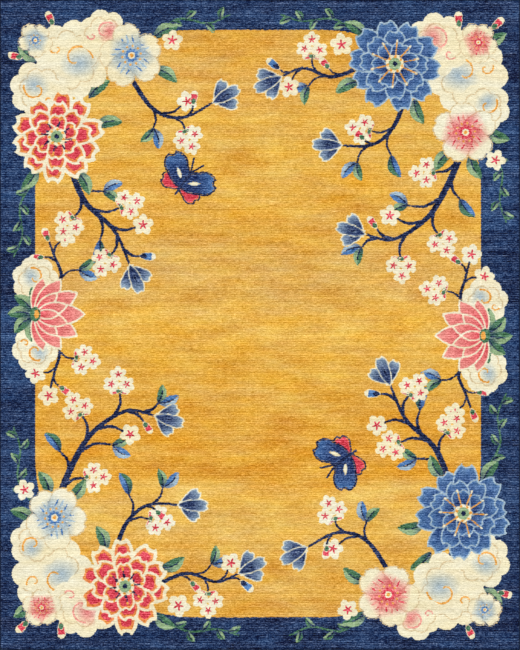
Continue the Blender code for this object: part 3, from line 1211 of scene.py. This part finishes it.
class RUG_OT_whip_edge(bpy.types.Operator):
    """Whip navy yarn over the edge, turn by turn, along each side"""

    bl_idname = "rug.whip_edge"
    bl_label = "Whip the edge"

    def execute(self, context):
        yarn = make_edge_yarn(context.scene.rug_yarns)
        sides = {}
        for number, side in enumerate(EDGE_SIDES):
            node = "serging_" + side
            piece = self.whip_side(context.scene.rug_edge, side, node, number * math.pi / 2)
            piece.data.materials.append(yarn)
            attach(piece, "root")
            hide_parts(node)
            sides[side] = piece
        self.declare_bands(sides)
        return {"FINISHED"}

    @staticmethod
    def declare_bands(sides):
        """Gather the bands of cloth, sorted from foot to head. The sides given are not used."""
        bands = [piece for piece in bpy.data.objects if piece.name.startswith("pile_band")]
        bands.sort(key=lambda band: band.bound_box[0][1])

    def whip_side(self, make, side, node, quarter):
        """One side, made along X at the head and then turned to its own side of the rug."""
        low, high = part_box(node)
        size = high - low
        length, width = max(size.x, size.y), min(size.x, size.y)
        piece = self.wind_turn(make, width, size.z + 2 * make.squash)
        piece.name = "whipping_" + side
        turns = math.ceil(length / make.wrap) + SPARE_TURNS
        self.repeat_turn(piece, turns, make.wrap)
        bpy.ops.object.mode_set(mode="EDIT")
        bpy.ops.mesh.select_all(action="SELECT")
        outer = RUG_HIGH.y if size.x > size.y else RUG_HIGH.x
        place = (-turns * make.wrap / 2, outer - width / 2, size.z / 2 - make.squash)
        bpy.ops.transform.translate(value=place)
        # Columns: a point of the cut, the way that is cut off
        cuts = (((length / 2, outer, 0.0), (1.0, -1.0, 0.0)),
                ((-length / 2, outer, 0.0), (-1.0, -1.0, 0.0)),
                ((0.0, 0.0, 0.0), (0.0, 0.0, -1.0)))
        for point, outward in cuts:
            bpy.ops.mesh.select_all(action="SELECT")
            bpy.ops.mesh.bisect(plane_co=point, plane_no=outward, use_fill=True, clear_outer=True)
        bpy.ops.mesh.select_all(action="SELECT")
        bpy.ops.mesh.normals_make_consistent(inside=False)
        bpy.ops.transform.rotate(value=quarter, orient_axis="Z", center_override=(0.0, 0.0, 0.0))
        bpy.ops.object.mode_set(mode="OBJECT")
        bpy.ops.object.shade_smooth_by_angle(angle=YARN_CREASE)
        return piece

    @staticmethod
    def wind_turn(make, width, height):
        """One leaning turn of yarn, which swells from its waist and narrows again."""
        bpy.ops.object.select_all(action="DESELECT")
        bpy.ops.mesh.primitive_circle_add(vertices=YARN_CORNERS, radius=0.5,
                                          rotation=(0.0, math.pi / 2, 0.0))
        piece = bpy.context.object
        bpy.ops.object.transform_apply(location=False, rotation=True, scale=False)
        bpy.ops.object.mode_set(mode="EDIT")
        bpy.ops.mesh.select_all(action="SELECT")
        bpy.ops.transform.resize(value=(1.0, width * make.waist, height * make.waist))
        bpy.ops.transform.rotate(value=make.lean, orient_axis="Z", center_override=(0.0, 0.0, 0.0))
        for growth in (1 / make.waist, make.waist):
            bpy.ops.mesh.extrude_region_move(
                TRANSFORM_OT_translate={"value": (make.wrap / 2, 0.0, 0.0)})
            bpy.ops.transform.resize(value=(1.0, growth, growth))
        bpy.ops.object.mode_set(mode="OBJECT")
        return piece

    @staticmethod
    def repeat_turn(piece, turns, wrap):
        """Set turns beside each other along X, joined waist to waist."""
        row = piece.modifiers.new("turns", "ARRAY")
        row.count = turns
        row.use_relative_offset = False
        row.use_constant_offset = True
        row.constant_offset_displace = (wrap, 0.0, 0.0)
        row.use_merge_vertices = True
        row.merge_threshold = JOINING
        bpy.ops.object.modifier_apply(modifier=row.name)


class RUG_OT_set_stage(bpy.types.Operator):
    """Set the floor, the soft light and the camera straight above the rug"""

    bl_idname = "rug.set_stage"
    bl_label = "Set the stage"

    def execute(self, context):
        scene, stage = context.scene, context.scene.rug_stage
        self.lay_floor(stage)
        self.light(scene, stage)
        self.hang_camera(scene, stage)
        scene.view_settings.view_transform = "Standard"
        return {"FINISHED"}

    @staticmethod
    def lay_floor(stage):
        bpy.ops.object.select_all(action="DESELECT")
        bpy.ops.mesh.primitive_plane_add(size=stage.floor_size, location=(0.0, 0.0, -FLOOR_GAP))
        floor = bpy.context.object
        floor.name = "floor"
        material, tree, shader, place = new_material("pale_floor", roughness=0.7, sheen=0.0)
        mottle = stretched_noise(tree, place, "mottle")
        colour = shaded(tree, opaque(stage.floor_colour), mottle, strength=0.03)
        feed(tree, shader.inputs["Base Color"], colour)
        floor.data.materials.append(material)
        floor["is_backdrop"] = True

    @staticmethod
    def light(scene, stage):
        world = bpy.data.worlds.new("studio")
        world.use_nodes = True
        background = world.node_tree.nodes["Background"]
        feed_all(world.node_tree, background, {"Color": SURROUND_COLOUR, "Strength": stage.sky_light})
        scene.world = world
        bpy.ops.object.light_add(type="SUN", location=SUN_PLACE)
        sun = bpy.context.object
        sun.name = "soft_key"
        sun.rotation_euler = SUN_TILT
        sun.data.energy = stage.sun
        sun.data.angle = SUN_SOFTNESS

    @staticmethod
    def hang_camera(scene, stage):
        """Hang the camera so high that the rug's outline just fills the picture."""
        camera_data = bpy.data.cameras.new("overhead")
        camera_data.lens = stage.lens
        camera = bpy.data.objects.new("overhead", camera_data)
        scene.collection.objects.link(camera)
        camera_data.clip_end = stage.floor_size
        half_length = (RUG_HIGH.y - RUG_LOW.y) / 2 - stage.overlap
        height = half_length * stage.lens / (camera_data.sensor_width / 2)
        camera.location = (0.0, 0.0, height)
        scene.camera = camera


# The panel in the sidebar


class RUG_PT_rug(bpy.types.Panel):
    """Sizes, colours and steps of the rug"""

    bl_idname = "RUG_PT_rug"
    bl_label = "Hand-tufted rug"
    bl_space_type = "VIEW_3D"
    bl_region_type = "UI"
    bl_category = "Rug"

    def draw(self, context):
        for name in GROUPS:
            group, box = getattr(context.scene, name), self.layout.box()
            for setting in group.__annotations__:
                box.prop(group, setting)
        for step in STEPS:
            self.layout.operator(step.bl_idname)


GROUPS = {"rug_pile": RugPile, "rug_yarns": RugYarns, "rug_edge": RugEdge, "rug_stage": RugStage}
STEPS = (RUG_OT_tuft_panel, RUG_OT_whip_edge, RUG_OT_set_stage)
CLASSES = (*GROUPS.values(), *STEPS, RUG_PT_rug)


def register():
    for kind in CLASSES:
        bpy.utils.register_class(kind)
    for name, group in GROUPS.items():
        setattr(bpy.types.Scene, name, PointerProperty(type=group))


def unregister():
    for name in GROUPS:
        delattr(bpy.types.Scene, name)
    for kind in reversed(CLASSES):
        bpy.utils.unregister_class(kind)


def write_sizes():
    """The CAD model's box and the visual model's box, as plain lists of numbers."""
    boxes = {"cad": CAD_BOX, "visual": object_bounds()}
    sizes = {name: [list(corner) for corner in box] for name, box in boxes.items()}


def main():
    register()
    bpy.ops.rug.tuft_panel()
    bpy.ops.rug.whip_edge()
    bpy.ops.rug.set_stage()
    write_sizes()


if __name__ == "__main__":
    main()
